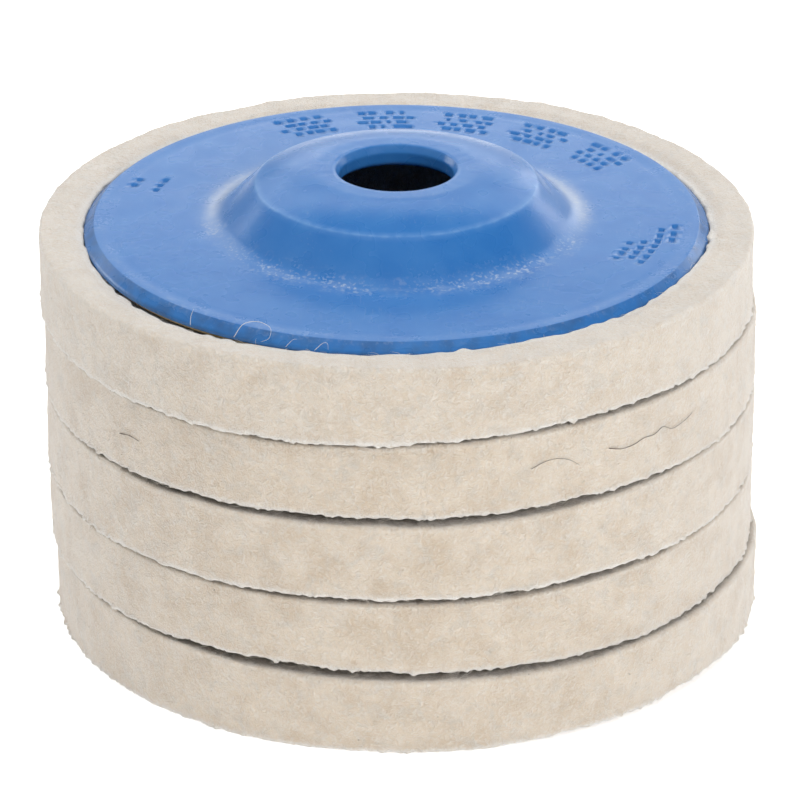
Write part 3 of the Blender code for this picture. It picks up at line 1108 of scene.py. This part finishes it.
def stretched(tree, space, turn_degrees, squeeze):
    """Coordinates turned about the upright axis and squeezed along one level direction, for scratches."""
    node = tree.nodes.new("ShaderNodeMapping")
    node.inputs["Rotation"].default_value = (0, 0, math.radians(turn_degrees))
    node.inputs["Scale"].default_value = (1, squeeze, 1)
    tree.links.new(space, node.inputs["Vector"])
    return node.outputs["Vector"]


def scuff_pattern(tree, space):
    """Fine pale scratches in two directions, gathered in patches."""
    scuffs = None
    patches = between(tree, noise(tree, space, 9, 2), 0.48, 0.62)
    for turn_degrees in (25, -40):
        streaks = noise(tree, stretched(tree, space, turn_degrees, 0.1), 0.3, 2)
        scuff = combine(tree, "MULTIPLY", between(tree, streaks, 0.64, 0.78, 0, 0.10), patches)
        scuffs = scuff if scuffs is None else combine(tree, "MAXIMUM", scuffs, scuff)
    return scuffs


def dust_pattern(tree, space):
    """Specks of wool dust of two sizes, and a thin film between them, where the piece gathers dust."""
    coarse = between(tree, noise(tree, space, 0.9, 2), 0.56, 0.68, 0, 0.55)
    fine = between(tree, noise(tree, space, 0.45, 1), 0.54, 0.68, 0, 0.5)
    film = between(tree, noise(tree, space, 2.6, 3), 0.40, 0.75, 0.03, 0.18)
    grains = combine(tree, "MAXIMUM", combine(tree, "MAXIMUM", coarse, fine), film)
    patches = between(tree, noise(tree, space, 6, 2), 0.36, 0.6, 0.25, 1)
    gathered = combine(tree, "MULTIPLY", read_number(tree, "dust"), patches)
    return combine(tree, "MULTIPLY", gathered, grains)


def plastic_finish():
    """Blue plastic: cloudy patches, scuffs, painted highlight and some wear on the edges, painted shade on
    the rim, painted glow on the skirt, dust, and a satin gloss.
    """
    material, tree, shader, space = new_finish("blue_plastic")
    cloud = between(tree, noise(tree, space, 4, 2), 0.3, 0.7)
    colour = blend_colours(tree, cloud, DEEP_BLUE, CLOUDY_BLUE)
    colour = blend_colours(tree, scuff_pattern(tree, space), colour, DUST_AND_GLOW)
    # Painted highlight along the hub's edge, and pale wear at the bore's mouth, broken up by noise.
    edge_patches = between(tree, noise(tree, space, 1.5, 3), 0.3, 0.6, 0.2, 0.65)
    lit_and_worn = combine(tree, "MULTIPLY", read_number(tree, "highlight_and_wear"), edge_patches)
    colour = blend_colours(tree, lit_and_worn, colour, LIT_AND_WORN_BLUE)
    # Painted shade: the rim's bevel and wall are darkened towards deep navy, broken up by noise.
    rim_shade = between(tree, noise(tree, space, 2.2, 3), 0.40, 0.72, 0.1, 0.6)
    rim_shade = combine(tree, "MULTIPLY", read_number(tree, "rim"), rim_shade)
    colour = blend_colours(tree, rim_shade, colour, RIM_SHADE_BLUE)
    # Painted reflection: the skirt's foot is paled at its far quarters, where the back lights would glint.
    glow_noise = between(tree, noise(tree, space, 2, 2), 0.3, 0.7, 0.32, 0.48)
    painted_glow = combine(tree, "MULTIPLY", read_number(tree, "painted_glow"), glow_noise)
    colour = blend_colours(tree, painted_glow, colour, DUST_AND_GLOW)
    dusty = dust_pattern(tree, space)
    colour = blend_colours(tree, dusty, colour, DUST_AND_GLOW)
    tree.links.new(colour, shader.inputs["Base Color"])
    gloss = between(tree, noise(tree, space, 3.5, 1), 0.3, 0.7, 0.25, 0.31)
    tree.links.new(combine(tree, "ADD", gloss, dusty), shader.inputs["Roughness"])
    shader.inputs["IOR"].default_value = 1.5
    raise_bumps(tree, shader, noise(tree, space, 0.5, 3), 0.012)
    return material


blue_plastic = plastic_finish()
for plate in plates.values():
    plate.data.materials.append(blue_plastic)
print("plastic finish nodes:", len(blue_plastic.node_tree.nodes))

# %% [markdown]
# ### Glue and dark hairs
#
# The glue is a clear amber that has yellowed unevenly. The dark hairs are brown, a little
# glossier than wool.


# %% The small finishes
def glue_finish():
    """Yellowed glue: two ambers blended by noise, with a soft gloss."""
    material, tree, shader, space = new_finish("amber_glue")
    shade = between(tree, noise(tree, space, 2.5, 3), 0.35, 0.65)
    colour = blend_colours(tree, shade, (0.55, 0.38, 0.16), (0.70, 0.55, 0.30))
    tree.links.new(colour, shader.inputs["Base Color"])
    shader.inputs["Roughness"].default_value = 0.3
    raise_bumps(tree, shader, noise(tree, space, 1.2, 2), 0.05)
    return material


def hair_finish():
    """Coarse dark hair, from nearly black to brown along its length."""
    material, tree, shader, space = new_finish("dark_hair")
    shade = between(tree, noise(tree, space, 1.5, 1), 0.35, 0.65)
    colour = blend_colours(tree, shade, (0.045, 0.03, 0.025), (0.16, 0.11, 0.08))
    tree.links.new(colour, shader.inputs["Base Color"])
    shader.inputs["Roughness"].default_value = 0.5
    return material


amber_glue = glue_finish()
dark_brown = hair_finish()
for glue in glue_layers.values():
    glue.data.materials.append(amber_glue)
for hair in dark_hairs:
    hair.data.materials.append(dark_brown)
print("finishes:", len(bpy.data.materials))

# %% [markdown]
# ## Floor and light
#
# The stack stands on a white table in an even white surround. Rows of strips behind it and beside
# it give the flange its pale sheen, which fades towards the front because the flange falls away
# from their mirror direction. The wool is lit by large soft boxes, with the strongest one at the
# front right. The high and the front boxes are kept out of reflections, because they would show as
# bright spots on the hub. The table glows a little, so the shadows stay faint.

# %% Floor
def add_floor():
    """A wide white floor just under the stack."""
    half = 4.0
    corners = [(-half, -half, 0), (half, -half, 0), (half, half, 0), (-half, half, 0)]
    mesh = bpy.data.meshes.new("floor")
    mesh.from_pydata(corners, [], [(0, 1, 2, 3)])
    floor = bpy.data.objects.new("floor", mesh)
    floor.location.z = -0.00002
    bpy.context.scene.collection.objects.link(floor)
    material, tree, shader, space = new_finish("white_floor")
    shader.inputs["Base Color"].default_value = (0.9, 0.9, 0.9, 1)
    shader.inputs["Roughness"].default_value = 0.9
    shader.inputs["Specular IOR Level"].default_value = 0.0
    shader.inputs["Emission Color"].default_value = (1, 1, 1, 1)
    shader.inputs["Emission Strength"].default_value = 0.5
    mesh.materials.append(material)
    return floor


add_floor()


# %% Lights
def add_softbox(name, place, aim, width, height, watts, mirrored):
    """A rectangular soft light that looks at a point. If it isn't mirrored, glossy faces don't show it."""
    data = bpy.data.lights.new(name, "AREA")
    data.shape = "RECTANGLE"
    data.size, data.size_y = width, height
    data.energy = watts
    light = bpy.data.objects.new(name, data)
    light.visible_glossy = mirrored
    light.location = place
    offset = np.array(aim) - np.array(place)
    flat = math.hypot(offset[0], offset[1])
    light.rotation_euler = (math.atan2(flat, -offset[2]), 0, math.atan2(offset[0], -offset[1]) + math.pi)
    bpy.context.scene.collection.objects.link(light)
    return light


def add_world(strength):
    """An even white surround."""
    world = bpy.data.worlds.new("white_room")
    world.use_nodes = True
    background = world.node_tree.nodes["Background"]
    background.inputs["Color"].default_value = (1, 1, 1, 1)
    background.inputs["Strength"].default_value = strength
    bpy.context.scene.world = world


AIM = (0, 0, 0.05)
SOFTBOXES = [
    ("back_low_left", (-0.35, 0.60, 0.09), 0.40, 0.12, 0.04, True),
    ("back_low", (0.0, 0.60, 0.09), 0.26, 0.12, 0.05, True),
    ("back_low_right", (0.35, 0.60, 0.09), 0.40, 0.12, 0.035, True),
    ("back_middle_left", (-0.35, 0.60, 0.24), 0.40, 0.14, 0.05, True),
    ("back_middle", (0.0, 0.60, 0.24), 0.26, 0.14, 0.23, True),
    ("back_middle_right", (0.35, 0.60, 0.24), 0.40, 0.14, 0.55, True),
    ("back_left", (-0.35, 0.60, 0.38), 0.40, 0.12, 0.28, True),
    ("back_right", (0.35, 0.60, 0.38), 0.40, 0.12, 0.21, True),
    ("back_high", (0.0, 0.60, 0.58), 1.2, 0.20, 1.3, True),
    ("far_left", (-0.65, 0.42, 0.22), 0.30, 0.25, 0.82, True),
    ("far_right", (0.65, 0.42, 0.22), 0.30, 0.25, 0.37, True),
    ("left_high", (-0.70, 0.0, 0.80), 0.6, 0.60, 1.9, False),
    ("top", (0.0, 0.0, 1.10), 0.8, 0.80, 6.7, False),
    ("front_left", (-0.80, -0.80, 0.60), 0.6, 0.60, 1.6, False),
    ("front_right", (0.80, -0.80, 0.60), 0.6, 0.60, 7.2, False),
]
add_world(0.15)
for name, place, width, height, watts, mirrored in SOFTBOXES:
    add_softbox(name, place, AIM, width, height, watts, mirrored)
bpy.context.scene.view_settings.view_transform = "Standard"
print("lights:", [each.name for each in bpy.data.lights])
